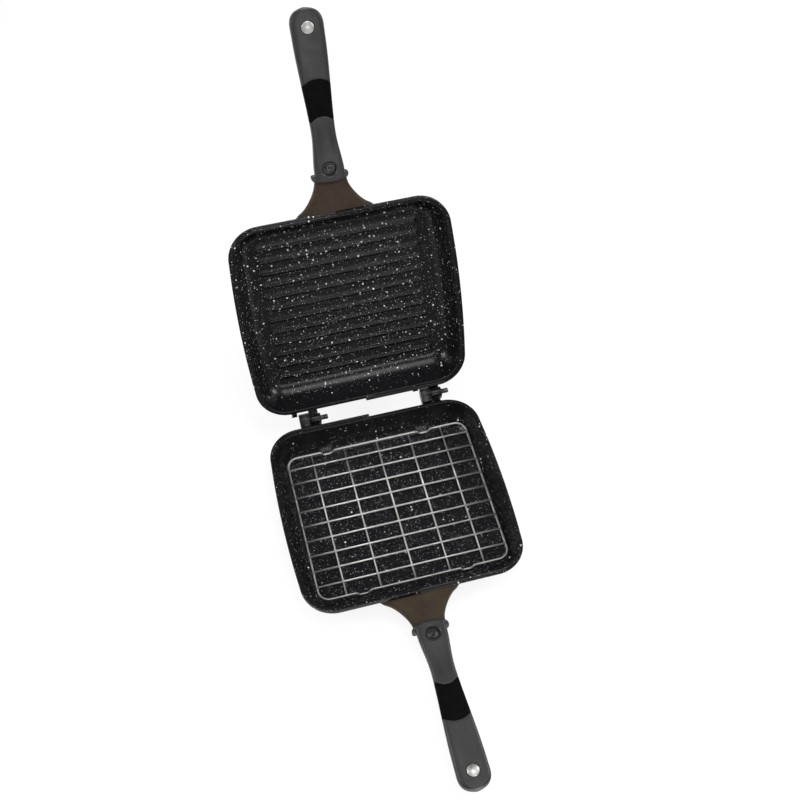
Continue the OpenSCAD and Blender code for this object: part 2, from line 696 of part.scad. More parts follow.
module rack_place() lower_place() translate([rack_shift, rack_mid, rack_z]) children();

module rack_frame() color(chrome) rack_place() loop_skin(wire_rings(rack_path, frame_d/2));

module rack_long_wires() color(chrome) rack_place()
    for (i = [0 : long_count - 1])
        translate([(i - (long_count - 1)/2)*long_pitch, rack_l/2 - frame_d/2 + weld, long_z - rack_z])
            rotate([90, 0, 0]) cylinder(d = wire_d, h = rack_l - frame_d + 2*weld);

module rack_cross_wires() color(chrome) rack_place()
    for (i = [0 : cross_count - 1])
        translate([-rack_w/2, cross_first + i*cross_pitch, cross_z - rack_z])
            rotate([0, 90, 0]) cylinder(d = wire_d, h = rack_w);

lower_pan();
lower_place() collar();  // lower_collar
lower_place() handle();  // lower_handle
lower_place() sleeve();  // lower_sleeve
lower_place() screw();  // lower_screw
lower_place() washer();  // lower_washer
lower_place() nut();  // lower_nut
lower_place() magnet();  // lower_magnet
lower_place() keeper();  // lower_keeper
upper_pan();
upper_place() collar();  // upper_collar
upper_place() handle();  // upper_handle
upper_place() sleeve();  // upper_sleeve
upper_place() screw();  // upper_screw
upper_place() washer();  // upper_washer
upper_place() nut();  // upper_nut
upper_place() magnet();  // upper_magnet
upper_place() keeper();  // upper_keeper
left_hinge_pin();
right_hinge_pin();
rack_frame();
rack_long_wires();
rack_cross_wires();
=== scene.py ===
import json
import math
import bpy
import bmesh
from mathutils import Matrix, Vector

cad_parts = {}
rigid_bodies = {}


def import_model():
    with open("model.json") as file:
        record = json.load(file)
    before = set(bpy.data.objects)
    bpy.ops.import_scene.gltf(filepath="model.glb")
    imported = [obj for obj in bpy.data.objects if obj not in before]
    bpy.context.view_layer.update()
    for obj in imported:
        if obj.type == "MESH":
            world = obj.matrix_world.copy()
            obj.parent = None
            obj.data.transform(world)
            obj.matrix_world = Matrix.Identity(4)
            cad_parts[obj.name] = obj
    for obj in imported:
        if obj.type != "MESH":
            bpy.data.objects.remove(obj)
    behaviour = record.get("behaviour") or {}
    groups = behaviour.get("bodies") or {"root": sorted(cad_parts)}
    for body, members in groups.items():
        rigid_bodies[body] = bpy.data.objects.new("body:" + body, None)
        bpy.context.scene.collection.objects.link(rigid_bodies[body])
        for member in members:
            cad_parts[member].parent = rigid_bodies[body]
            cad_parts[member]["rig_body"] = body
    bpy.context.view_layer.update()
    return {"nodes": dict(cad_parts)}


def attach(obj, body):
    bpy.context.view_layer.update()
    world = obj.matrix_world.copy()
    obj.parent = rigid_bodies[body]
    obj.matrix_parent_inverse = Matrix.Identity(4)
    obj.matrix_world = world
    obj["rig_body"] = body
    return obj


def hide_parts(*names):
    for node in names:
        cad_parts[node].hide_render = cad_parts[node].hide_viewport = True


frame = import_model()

scene = bpy.context.scene

# ---------------------------------------------------------------- camera

# Where the photograph was taken from, in metres, and the way it looks
EYE = Vector((-0.1550, -0.6439, 1.2353))
LOOK = Vector((0.1367, 0.5391, -0.8311))
ROLL = math.radians(-0.42)
LENS_MM = 52.785

camera = bpy.data.objects.new("camera", bpy.data.cameras.new("camera"))
camera.data.sensor_width = 36
camera.data.lens = LENS_MM
camera.data.clip_end = 20
turn = LOOK.to_track_quat("-Z", "Y").to_matrix() @ Matrix.Rotation(ROLL, 3, "Z")
camera.matrix_world = Matrix.Translation(EYE) @ turn.to_4x4()
scene.collection.objects.link(camera)
scene.camera = camera

# ---------------------------------------------------------------- materials


def srgb(code):
    """Linear colour, with alpha, of an sRGB hex code such as 4a4849."""
    parts = [int(code[i:i + 2], 16) / 255 for i in (0, 2, 4)]
    return [c / 12.92 if c <= 0.04045 else ((c + 0.055) / 1.055) ** 2.4 for c in parts] + [1.0]


def add(tree, kind, inputs=None, **settings):
    """Adds a node. An input that is a socket is linked, and any other is the socket's own value."""
    made = tree.nodes.new(kind)
    for name, value in settings.items():
        setattr(made, name, value)
    for name, value in (inputs or {}).items():
        if isinstance(value, bpy.types.NodeSocket):
            tree.links.new(value, made.inputs[name])
        else:
            made.inputs[name].default_value = value
    return made


def blank(name):
    """A new material's node tree, its shader and its object coordinates."""
    material = bpy.data.materials.new(name)
    material.use_nodes = True
    tree = material.node_tree
    place = add(tree, "ShaderNodeTexCoord").outputs["Object"]
    return material, tree, tree.nodes["Principled BSDF"], place


def cloud(tree, place, size_mm, low, high, detail=3.0):
    """Soft noise whose patches are about size_mm wide, mapped from low to high."""
    noise = add(tree, "ShaderNodeTexNoise", {"Vector": place, "Scale": 1000 / size_mm, "Detail": detail})
    spread = add(tree, "ShaderNodeMapRange", {
        "Value": noise.outputs["Fac"], "From Min": 0.3, "From Max": 0.7, "To Min": low, "To Max": high})
    return spread.outputs["Result"]


def mix_colour(tree, amount, a, b):
    """Colour that goes from a to b with amount."""
    return add(tree, "ShaderNodeMix", {0: amount, 6: a, 7: b}, data_type="RGBA").outputs[2]


def ragged(tree, place, size_mm, reach_mm):
    """The coordinates pushed about by noise, which makes round things ragged."""
    noise = add(tree, "ShaderNodeTexNoise", {"Vector": place, "Scale": 1000 / size_mm, "Detail": 1.0})
    centred = add(tree, "ShaderNodeVectorMath", {0: noise.outputs["Color"], 1: (0.5, 0.5, 0.5)},
                  operation="SUBTRACT")
    push = add(tree, "ShaderNodeVectorMath", {0: centred.outputs[0], "Scale": reach_mm / 1000},
               operation="SCALE")
    return add(tree, "ShaderNodeVectorMath", {0: place, 1: push.outputs[0]}).outputs[0]


def multiply(tree, a, b):
    """The product of two values."""
    return add(tree, "ShaderNodeMath", {0: a, 1: b}, operation="MULTIPLY").outputs[0]


# Point attributes that say how thickly the small and the large specks were sprayed, from 0 to 1
FINE, COARSE = "fine_spray", "coarse_spray"
# The share of a speck's radius that is fully pale, and how much the faintest speck shows
SPECK_CORE, FAINTEST_SPECK = 0.7, 0.45


def speckles(tree, place, cell_mm, radius_mm, share, spray):
    """Mask of specks: balls of up to that radius scattered in space, one in a share of the cells
    times the spray, that show where the surface cuts them."""
    cells = add(tree, "ShaderNodeTexVoronoi", {"Vector": place, "Scale": 1000 / cell_mm})
    edge = radius_mm / cell_mm
    inside = add(tree, "ShaderNodeMapRange", {
        "Value": cells.outputs["Distance"], "From Min": edge * SPECK_CORE, "From Max": edge,
        "To Min": 1.0, "To Max": 0.0})
    split = add(tree, "ShaderNodeSeparateColor", {"Color": cells.outputs["Color"]})
    amount = add(tree, "ShaderNodeAttribute", attribute_name=spray)
    part = multiply(tree, amount.outputs["Fac"], share)
    chosen = add(tree, "ShaderNodeMath", {0: split.outputs["Red"], 1: part}, operation="LESS_THAN")
    level = add(tree, "ShaderNodeMapRange", {
        "Value": split.outputs["Green"], "To Min": FAINTEST_SPECK, "To Max": 1.0})
    shown = multiply(tree, inside.outputs["Result"], chosen.outputs[0])
    return multiply(tree, shown, level.outputs["Result"])


def relief(tree, shader, height, depth_mm):
    """Bump of that depth from a height of 0 to 1."""
    bump = add(tree, "ShaderNodeBump", {"Height": height, "Distance": depth_mm / 1000, "Strength": 1.0})
    tree.links.new(bump.outputs["Normal"], shader.inputs["Normal"])


def speckled_nonstick():
    """PTFE non-stick sprayed in coats on cast aluminium: satin black, slightly pebbled, with pale
    mineral specks of mixed size flicked on under the clear top coat."""
    material, tree, shader, place = blank("speckled_nonstick")
    ground = mix_colour(tree, cloud(tree, place, 34, 0.0, 1.0), srgb("0c0b0e"), srgb("141315"))
    spread = ragged(tree, place, 1.4, 0.9)
    specks = (
        # cell, radius, share of cells, spray, colour; the real specks run from 0.3 to 2.8 mm across
        (1.5, 0.34, 0.90, FINE, "6e6d72"),
        (2.4, 0.60, 0.75, FINE, "9a99a0"),
        (3.4, 0.74, 0.27, COARSE, "e4e3e5"),
        (5.4, 1.20, 0.27, COARSE, "ffffff"),
    )
    for cell, radius, share, spray, code in specks:
        mask = speckles(tree, spread, cell, radius, share, spray)
        ground = mix_colour(tree, mask, ground, srgb(code))
    tree.links.new(ground, shader.inputs["Base Color"])
    tree.links.new(cloud(tree, place, 55, 0.23, 0.28), shader.inputs["Roughness"])
    shader.inputs["Specular IOR Level"].default_value = 0.24
    relief(tree, shader, cloud(tree, place, 1.6, 0.0, 1.0, 2.0), 0.02)
    return material


def brown_enamel():
    """Heat-proof silicone enamel baked on the outside of the casting: dark brown, satin, with a
    faint orange peel and paler rubbed patches."""
    material, tree, shader, place = blank("brown_enamel")
    ground = mix_colour(tree, cloud(tree, place, 26, 0.0, 1.0, 4.0), srgb("332a20"), srgb("40362a"))
    ground = mix_colour(tree, cloud(tree, place, 3.2, 0.0, 0.12), ground, srgb("5d5348"))
    tree.links.new(ground, shader.inputs["Base Color"])
    tree.links.new(cloud(tree, place, 18, 0.40, 0.54), shader.inputs["Roughness"])
    shader.inputs["Specular IOR Level"].default_value = 0.09
    relief(tree, shader, cloud(tree, place, 1.1, 0.0, 1.0, 2.0), 0.03)
    return material


def moulded_phenolic():
    """Compression-moulded phenolic resin: dark grey, satin, with a fine matt grain and faint flow
    marks along the handle."""
    material, tree, shader, place = blank("moulded_phenolic")
    flow = add(tree, "ShaderNodeMapping", {"Vector": place, "Scale": (1.0, 0.25, 0.25)})
    marks = cloud(tree, flow.outputs["Vector"], 9, 0.0, 1.0)
    ground = mix_colour(tree, marks, srgb("2b292a"), srgb("353334"))
    tree.links.new(ground, shader.inputs["Base Color"])
    tree.links.new(cloud(tree, place, 12, 0.34, 0.46), shader.inputs["Roughness"])
    shader.inputs["Specular IOR Level"].default_value = 0.32
    relief(tree, shader, cloud(tree, place, 0.7, 0.0, 1.0, 2.0), 0.02)
    return material


def black_sleeve():
    """Soft-touch black nylon: almost no shine, with a fine even grain."""
    material, tree, shader, place = blank("black_nylon_sleeve")
    ground = mix_colour(tree, cloud(tree, place, 7, 0.0, 1.0), srgb("060505"), srgb("0b0a0a"))
    tree.links.new(ground, shader.inputs["Base Color"])
    tree.links.new(cloud(tree, place, 5, 0.55, 0.7), shader.inputs["Roughness"])
    shader.inputs["Specular IOR Level"].default_value = 0.05
    relief(tree, shader, cloud(tree, place, 0.6, 0.0, 1.0, 2.0), 0.02)
    return material


def metal(name, dark, pale, low, high, grain_mm, depth_mm=0.01):
    """A bare or plated metal, cloudy between two colours, with its roughness from low to high."""
    material, tree, shader, place = blank(name)
    ground = mix_colour(tree, cloud(tree, place, grain_mm * 6, 0.0, 1.0), srgb(dark), srgb(pale))
    tree.links.new(ground, shader.inputs["Base Color"])
    shader.inputs["Metallic"].default_value = 1.0
    tree.links.new(cloud(tree, place, grain_mm * 3, low, high), shader.inputs["Roughness"])
    relief(tree, shader, cloud(tree, place, grain_mm, 0.0, 1.0, 2.0), depth_mm)
    return material


COAT = speckled_nonstick()
ENAMEL = brown_enamel()
PHENOLIC = moulded_phenolic()
SLEEVE = black_sleeve()
# Bright chrome plating on drawn steel wire, slightly dulled by use
CHROME = metal("chromed_wire", "d9d7d4", "efedea", 0.30, 0.42, 2.0)
# The same plating on the thicker frame wire, painted greyer all over and made rougher. The grey is painted
# shade: a darker copy of the rods' chrome, so that the frame renders no brighter than they do
SHADED_FRAME_CHROME = metal("shaded_frame_chrome_wire", "aeaca9", "c6c4c0", 0.38, 0.50, 2.0)
# Blackened steel of the pins and screws, rubbed paler here and there
BLACK_STEEL = metal("blackened_steel", "3a393b", "5a595b", 0.35, 0.5, 0.8, 0.02)
# Zinc-plated steel of the nuts and the hidden keepers
ZINC = metal("zinc_plated_steel", "a3a5a8", "c4c6c9", 0.3, 0.45, 1.2)
# Nickel plating on a sintered magnet, satin from tumbling
NICKEL = metal("nickel_plated_magnet", "b3b2b0", "cbcac7", 0.38, 0.5, 1.0)

# ---------------------------------------------------------------- the half frame

# In millimetres: x along the hinge axis, y from it towards the handle, z out of the cavity
AXIS = Vector((0, 0.1317, 0.039))
LEAN = math.radians(62.1)
TO_METRES = Matrix.Diagonal((0.001, -0.001, 0.001, 1))
TURNED = Matrix.Rotation(LEAN, 4, "X") @ Matrix.Rotation(math.pi, 4, "Z")
PLACES = {
    "lower": Matrix.Translation(AXIS) @ TO_METRES,
    "upper": Matrix.Translation(AXIS) @ TURNED @ TO_METRES,
}
SMOOTH_ANGLE = math.radians(34)


def finish_piece(bm, name, materials, body, nodes, place):
    """Turns a bmesh in the half frame into a smooth-shaded piece at its place, that rides on a body
    and stands for CAD nodes."""
    bmesh.ops.transform(bm, matrix=place, verts=bm.verts)
    bmesh.ops.remove_doubles(bm, verts=bm.verts, dist=1e-7)
    bmesh.ops.recalc_face_normals(bm, faces=bm.faces)
    mesh = bpy.data.meshes.new(name)
    bm.to_mesh(mesh)
    bm.free()
    return dress_piece(mesh, name, materials, body, nodes)


def dress_piece(mesh, name, materials, body, nodes):
    """Gives a mesh its materials, shading and body, and hides the nodes that it stands for."""
    for material in materials:
        mesh.materials.append(material)
    mesh.shade_smooth()
    mesh.set_sharp_from_angle(angle=SMOOTH_ANGLE)
    piece = bpy.data.objects.new(name, mesh)
    scene.collection.objects.link(piece)
    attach(piece, body)
    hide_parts(*nodes)
    return piece


def merged_copy(node, name, material):
    """A CAD node's own shape with its triangles joined up, smooth-shaded, in a better finish."""
    mesh = frame["nodes"][node].data.copy()
    bm = bmesh.new()
    bm.from_mesh(mesh)
    bmesh.ops.remove_doubles(bm, verts=bm.verts, dist=1e-6)
    bm.to_mesh(mesh)
    bm.free()
    mesh.materials.clear()
    return dress_piece(mesh, name, [material], frame["nodes"][node]["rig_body"], [node])


def ring_edges(ring):
    """The edges that join the vertices of a ring."""
    members = set(ring)
    return list({e for v in ring for e in v.link_edges if e.other_vert(v) in members})


def loft(bm, ring, stations, point, material=None):
    """Extrudes a ring of vertices through stations; point(i, station) is where its i-th vertex goes.
    Returns the last ring in the same order."""
    for i, v in enumerate(ring):
        v.co = point(i, stations[0])
    for station in stations[1:]:
        index = {v: i for i, v in enumerate(ring)}
        made = bmesh.ops.extrude_edge_only(bm, edges=ring_edges(ring))["geom"]
        fresh = [None] * len(ring)
        for v in (g for g in made if isinstance(g, bmesh.types.BMVert)):
            fresh[next(index[e.other_vert(v)] for e in v.link_edges if e.other_vert(v) in index)] = v
        if material is not None:
            for face in (g for g in made if isinstance(g, bmesh.types.BMFace)):
                face.material_index = material(station)
        ring = fresh
        for i, v in enumerate(ring):
            v.co = point(i, station)
    return ring


def prism(outline, x0, x1, bevel, segments=2):
    """A bmesh of a profile of (y, z) corners drawn out along x, with its edges rounded."""
    bm = bmesh.new()
    corners = [bm.verts.new((x0, y, z)) for y, z in outline]
    face = bm.faces.new(corners)
    made = bmesh.ops.extrude_face_region(bm, geom=[face])["geom"]
    top = [g for g in made if isinstance(g, bmesh.types.BMVert)]
    bmesh.ops.translate(bm, vec=(x1 - x0, 0, 0), verts=top)
    edges = list({e for v in corners + top for e in v.link_edges})
    bmesh.ops.bevel(bm, geom=edges, offset=bevel, segments=segments, profile=0.5,
                    affect="EDGES", material=-1, clamp_overlap=True)
    return bm


def spread(a, b, count):
    """Evenly spaced numbers from a to b, in that many steps."""
    return [a + (b - a) * i / count for i in range(count + 1)]


def rod(x0, x1, radius, segments, bevel=0.0):
    """A bmesh of a round bar on the hinge axis, with rounded rims if bevel is given."""
    start, end = Vector((x0, 0, 0)), Vector((x1, 0, 0))
    axis = end - start
    place = Matrix.Translation((start + end) / 2) @ axis.to_track_quat("Z", "Y").to_matrix().to_4x4()
    bm = bmesh.new()
    made = bmesh.ops.create_cone(bm, cap_ends=True, segments=segments, radius1=radius, radius2=radius,
                                 depth=axis.length, matrix=place)["verts"]
    if bevel:
        rims = [e for e in {e for v in made for e in v.link_edges}
                if abs(e.verts[0].co.x - e.verts[1].co.x) < 1e-6]
        bmesh.ops.bevel(bm, geom=rims, offset=bevel, segments=3, profile=0.5, affect="EDGES", material=-1)
    return bm


def joined(target, tools, operation):
    """The bmesh that is left when each tool is united with the target or cut from it. It uses up
    the ones that it is given."""
    objects = []
    for bm in [target] + tools:
        bmesh.ops.recalc_face_normals(bm, faces=bm.faces)
        mesh = bpy.data.meshes.new("part")
        bm.to_mesh(mesh)
        bm.free()
        # The modifier keeps a face's material index only where the mesh has that many materials
        mesh.materials.append(COAT)
        mesh.materials.append(ENAMEL)
        part = bpy.data.objects.new("part", mesh)
        scene.collection.objects.link(part)
        objects.append(part)
    for tool in objects[1:]:
        step = objects[0].modifiers.new("step", "BOOLEAN")
        step.object = tool
        step.operation = operation
        step.solver = "MANIFOLD"
    bpy.context.view_layer.update()
    result = objects[0].evaluated_get(bpy.context.evaluated_depsgraph_get())
    shape = bpy.data.meshes.new_from_object(result)
    out = bmesh.new()
    out.from_mesh(shape)
    for part in objects:
        mesh = part.data
        bpy.data.objects.remove(part)
        bpy.data.meshes.remove(mesh)
    bpy.data.meshes.remove(shape)
    return out


# ---------------------------------------------------------------- the castings

# Half the width and half the length of a pan half, its corners' radius, and how far its long
# sides bow out
HALF_W, HALF_L, CORNER_R, BOW = 132.0, 120.9, 38.0, 3.0
# Where a half begins beside the hinge, its middle and its end at the neck
Y0 = 10.8
MID = Y0 + HALF_L
Y1 = MID + HALF_L
DEPTH, FLOOR_T = 39.0, 4.6
FLOOR_Z = FLOOR_T - DEPTH
RIM_Z = -0.15
# How far in from the rim each half's floor begins
LOWER_FLOOR_IN, UPPER_FLOOR_IN = 22.0, 28.0
COLLAR_Y, COLLAR_T = Y1 + 35.0, 5.2
HANDLE_Y = COLLAR_Y + COLLAR_T
# Where each lower lug ends along x
HINGES = (-71.55, 80.05)
# The bowed sides are arcs of this radius
SIDE_R = ((HALF_L - CORNER_R) ** 2 + BOW ** 2) / (2 * BOW)
# The rim's lip ends between these two places along x
LIP_STEP = (-0.3, -0.6)


def plan_outline():
    """Points of the rim's outline with their outward normals: a rectangle with rounded corners and
    bowed long sides, split close to the middle where the lip changes sides."""
    bm = bmesh.new()
    corners = bmesh.ops.create_grid(bm, x_segments=1, y_segments=1, size=1)["verts"]
    bmesh.ops.scale(bm, vec=(HALF_W - BOW, HALF_L, 1), verts=corners)
    bmesh.ops.bevel(bm, geom=corners, offset=CORNER_R, segments=20, profile=0.5,
                    affect="VERTICES", material=-1)
    straight = [e for e in bm.edges if e.calc_length() > CORNER_R]
    sides = [e for e in straight if abs(e.verts[0].co.x - e.verts[1].co.x) < 1]
    ends = [e for e in straight if e not in sides]
    bmesh.ops.subdivide_edges(bm, edges=sides, cuts=15)
    bmesh.ops.subdivide_edges(bm, edges=ends, cuts=11)
    for x in LIP_STEP:
        bmesh.ops.bisect_plane(bm, geom=bm.verts[:] + bm.edges[:] + bm.faces[:],
                               plane_co=(x, 0, 0), plane_no=(1, 0, 0))
    bmesh.ops.dissolve_faces(bm, faces=bm.faces[:])
    bm.faces.ensure_lookup_table()
    run = HALF_L - CORNER_R
    points = []
    for v in (loop.vert for loop in bm.faces[0].loops):
        p = v.co.copy()
        if abs(p.y) <= run + 1e-4 and abs(p.x) > HALF_W / 2:
            side = math.copysign(1, p.x)
            centre = side * (HALF_W - SIDE_R)
            p.x = centre + side * math.sqrt(SIDE_R ** 2 - p.y ** 2)
            normal = Vector((p.x - centre, p.y, 0)).normalized()
        elif abs(p.x) > HALF_W - BOW - CORNER_R + 1e-4:
            centre = Vector((math.copysign(HALF_W - BOW - CORNER_R, p.x), math.copysign(run, p.y), 0))
            normal = (p - centre).normalized()
        else:
            normal = Vector((0, math.copysign(1, p.y), 0))
        points.append((p, normal, p.x < sum(LIP_STEP) / 2))
    bm.free()
    return points


OUTLINE = plan_outline()


# Places of the coat and the enamel among a casting's materials
INNER, OUTER = 0, 1


def tub(floor_in):
    """One half's tub, drawn as rings of (inset, height) from the base up over the rim to the floor,
    whose edge is floor_in from the rim. Where the two sides of the rim differ, a ring has one pair
    for each."""
    # The outer wall flares from base_in at the base to wall_in at wall_top. rim_in is the rim's
    # inner edge, and groove the depth of the ring in the base.
    wall_top, wall_in, wall_steps = -5.8, 2.2, 14
    base_in, base_ease, rim_in = 21.0, 0.12, 6.0
    groove = 0.8
    base = [(29.3, 0), (29.0, groove), (27.0, groove), (26.7, 0),
            (base_in + 0.6, 0), (base_in - 0.2, base_ease)]
    outside = [(inset, up - DEPTH) for inset, up in base]
    for i in range(1, wall_steps + 1):
        s = i / wall_steps
        outside.append((base_in - (base_in - wall_in) * s, -DEPTH + (DEPTH + wall_top) * s ** 1.5))
    outside += [(0.25, -3.85), (0.0, -3.6)]
    # One pair for the side with the step and one for the side with the lip
    rim = [((0, -3.45), (0, 2.0)), ((0.1, -3.3), (0.12, 2.4)), ((0.35, -3.25), (0.5, 2.6)),
           ((2.1, -3.25), (1.4, 2.6)), ((2.4, -3.0), (1.8, 2.4)), ((2.4, -0.6), (1.9, 2.0)),
           ((2.5, -0.27), (1.9, 0.1)), ((2.85, RIM_Z), (2.2, RIM_Z))]
    inside = [(5.1, RIM_Z), (5.7, -0.32), (6.02, -0.8)]
    # The inner wall is part of an ellipse, swept from nearly upright at the rim to flat
    sweep, rings, top_gap = math.radians(84), 22, 0.02
    for i in range(rings):
        a = sweep * (1 - i / rings) - top_gap
        inside.append((floor_in - (floor_in - rim_in) * math.sin(a) / math.sin(sweep),
                       FLOOR_Z + (RIM_Z - FLOOR_Z) * (1 - math.cos(a)) / (1 - math.cos(sweep))))
    stations = [(p, p) for p in outside] + rim + [(p, p) for p in inside]

    def point(i, station):
        p, normal, lip = OUTLINE[i]
        inset, height = station[1] if lip else station[0]
        return Vector((p.x, MID + p.y, height)) - normal * inset

    bm = bmesh.new()
    ring = [bm.verts.new((p.x, p.y, 0)) for p, _, _ in OUTLINE]
    bm.faces.new(ring).material_index = OUTER
    outer = set(map(id, stations[:len(outside)]))
    last = loft(bm, ring, stations, point, lambda s: OUTER if id(s) in outer else INNER)
    bmesh.ops.edgeloop_fill(bm, edges=ring_edges(last))
    return bm


# The ribs' number, width, height and half their length
RIB_COUNT, RIB_W, RIB_H, RIB_HALF = 12, 7.4, 1.4, 97.0
RIB_FIRST, RIB_LAST = Y0 + 36.4, Y1 - 40.4


def ribs():
    """The upper floor's ribs: low waves with round ends, that run out softly into the floor."""
    foot = RIB_W / 2
    buried, edge, crest, segments = -1.5, 0.94 * foot, 0.25, 40
    stations = [(edge, buried)]
    stations += [(d, RIB_H * (1 + math.cos(math.pi * d / foot)) / 2) for d in spread(edge, crest, 10)]
    bm = bmesh.new()
    for y in spread(RIB_FIRST, RIB_LAST, RIB_COUNT - 1):
        def point(i, station):
            reach, height = station
            a = 2 * math.pi * (i + 0.5) / segments
            x = math.copysign(RIB_HALF - foot, math.cos(a)) + reach * math.cos(a)
            return Vector((x, y + reach * math.sin(a), FLOOR_Z + height))
        ring = bmesh.ops.create_circle(bm, cap_ends=True, segments=segments, radius=1)["verts"]
        last = loft(bm, ring, stations, point)
        bmesh.ops.edgeloop_fill(bm, edges=ring_edges(last))
    return bm


# The neck's width at the collar, how much its flare and its fillet add at the rim, its top and
# its thickness
NECK_W, NECK_FLARE, NECK_FILLET, NECK_TOP, NECK_T = 36.4, 20.5, 3.0, -4.3, 11.0


def neck_half(y):
    """Half the neck's width: a flare that rounds into the rim."""
    s = max(0.0, (COLLAR_Y - y) / (COLLAR_Y - Y1))
    return NECK_W / 2 + NECK_FLARE * s ** 1.65 + NECK_FILLET * min(s, 1) ** 12


def neck():
    """The neck that flares from the collar into the wall, with a broad bevel along its edges."""
    start, end, steps = Y1 - 6.0, COLLAR_Y + 3, 32
    under = NECK_TOP - NECK_T
    bm = bmesh.new()
    verts = bmesh.ops.create_grid(bm, x_segments=1, y_segments=steps, size=1)["verts"]
    for v in verts:
        y = start + (end - start) * (v.co.y + 1) / 2
        v.co = (math.copysign(neck_half(y), v.co.x), y, under)
    made = bmesh.ops.extrude_face_region(bm, geom=bm.faces[:])["geom"]
    top = [g for g in made if isinstance(g, bmesh.types.BMVert)]
    bmesh.ops.translate(bm, vec=(0, 0, NECK_T), verts=top)

    def along(z):
        """The edges at that height that run along the neck's sides."""
        level = [e for e in bm.edges if all(abs(v.co.z - z) < 1e-4 for v in e.verts)]
        return [e for e in level if e.verts[0].co.x * e.verts[1].co.x > 0
                and abs(e.verts[0].co.y - e.verts[1].co.y) > 0.1]
    bmesh.ops.bevel(bm, geom=along(NECK_TOP), offset=3.2, segments=4, profile=0.45,
                    affect="EDGES", material=-1)
    bmesh.ops.bevel(bm, geom=along(under), offset=2.0, segments=3, profile=0.5,
                    affect="EDGES", material=-1)
    for face in bm.faces:
        face.material_index = OUTER
    return bm


# Profile of the roots that run into the wall, shared by the lugs and the knuckles
ROOT = [(18.8, -17.0), (17.2, -6.5), (13.8, -5.5)]
PIN_R = 3.0
# Widths along x of the lower lug, the upper knuckle, its arm and the locating nub
LUG_W, KNUCKLE_W, ARM_W, NUB_W = 12.3, 13.4, 11.0, 6.8
# Radius of the knuckle's eye, the play between lug and knuckle, and the nub's gap beside the lug
EYE_R, PLAY, NUB_GAP = 6.3, 0.3, 1.2


def bored(bm, x, radius):
    """The bmesh with a hole along the hinge axis through what ends at x."""
    return joined(bm, [rod(x - 20, x + 5, radius, 40)], "DIFFERENCE")


def lower_lug(x):
    """Lug that carries the pin, with the pad beside it that stops the upper half. The lug's root
    reaches up to the rim on the lip's side, and stays under the step on the other."""
    lip_side = x < 0
    high = RIM_Z if lip_side else -3.75
    profile = ([] if lip_side else [(10.3, high)]) + [
        (10.3, RIM_Z), (3, 6.5), (-3.5, 8), (-8, 4.5), (-8, -3.5), (-2, -9)] + ROOT + [(11.8, high)]
    lug = bored(prism(profile, x - LUG_W, x, 0.9, segments=3), x, PIN_R + 0.02)
    pad = prism([(5, -7), (11.8, -7), (17.2, -8), (18.8, -17), (7, -14), (5, -12)], x - 2, x + 12, 0.6)
    return [lug, pad]


def upper_knuckle(x):
    """Knuckle that turns on the pin, with its arm and the heel that meets the pad."""
    eye = rod(x - KNUCKLE_W, x, EYE_R, 64, bevel=0.6)
    arm = prism([(-1, -5.9)] + ROOT + [(11.8, -3.6), (10.3, -3.75), (4.5, 4)], x - ARM_W, x, 0.6)
    # The heel is drawn as it stands at the open stop, and leans with the upper half
    corners = [(0, 0), (4.7, -3), (4.7, -8.3), (2.4, -9.2), (-0.6, -9.5), (-2.6, -9.1), (-3, 0)]
    c, s = math.cos(-LEAN), math.sin(-LEAN)
    heel = prism([(-y * c - z * s, -y * s + z * c) for y, z in corners], x - KNUCKLE_W, x, 0.5)
    return [bored(joined(eye, [arm, heel], "UNION"), x, PIN_R + 0.05)]


def nub(x):
    """Locating nub on the upper half, from x on, that stands beside a lower lug."""
    return prism([(5.2, -3.85), (15.3, -3.85), (15.3, -8.5), (6.4, -7.6), (5.2, -6.2)], x, x + NUB_W, 0.7)


def casting(half):
    """A half's casting, with the amount of specks that the spray left on each point. The lower
    half got few large ones, and the walls beside the hinge got few of any size."""
    upper = half == "upper"
    parts = [neck()]
    for x in HINGES:
        if upper:
            parts += upper_knuckle(-x - PLAY) + [nub(-(x - LUG_W - NUB_GAP))]
        else:
            parts += lower_lug(x)
    if upper:
        parts.append(ribs())
    bm = joined(tub(UPPER_FLOOR_IN if upper else LOWER_FLOOR_IN), parts, "UNION")
    fine = bm.verts.layers.float.new(FINE)
    coarse = bm.verts.layers.float.new(COARSE)
    for v in bm.verts:
        # From 0 on the floor to 1 on the walls, and from 0 to 1 towards the hinge
        up = min(max((v.co.z - FLOOR_Z) / 20, 0), 1)
        near = min(max((Y0 + 45 - v.co.y) / 22, 0), 1)
        settled = 1 - up * (0.3 + 0.5 * near)
        v[fine] = settled * (0.6 if upper else 1.0 - 0.4 * up)
        v[coarse] = settled * (1.0 if upper else 0.18 + 0.4 * up)
    return bm


for half in PLACES:
    finish_piece(casting(half), half + "_casting", [COAT, ENAMEL], half + "_half", [half + "_pan"],
                 PLACES[half])

# ---------------------------------------------------------------- handles

# The handle's tip and the length over which it rounds off
TIP_Y = HANDLE_Y + 180.2
TIP_L = 18.0
SCREW_Y = HANDLE_Y + 9.4
# The sleeve's start and length, and how far its rims sag along the handle in the middle
SLEEVE_Y, SLEEVE_L, SLEEVE_SAG = HANDLE_Y + 62.5, 40.0, 5.8
SLEEVE_END = SLEEVE_Y + SLEEVE_L
MAGNET_Y = TIP_Y - 18.2
MAGNET_R = 6.6
# The height of the handle's widest line, how far its top lies below the rim, and the depth of
# the thumb hollow
WIDE_Z, DROP, THUMB = -8.0, 0.4, 2.0


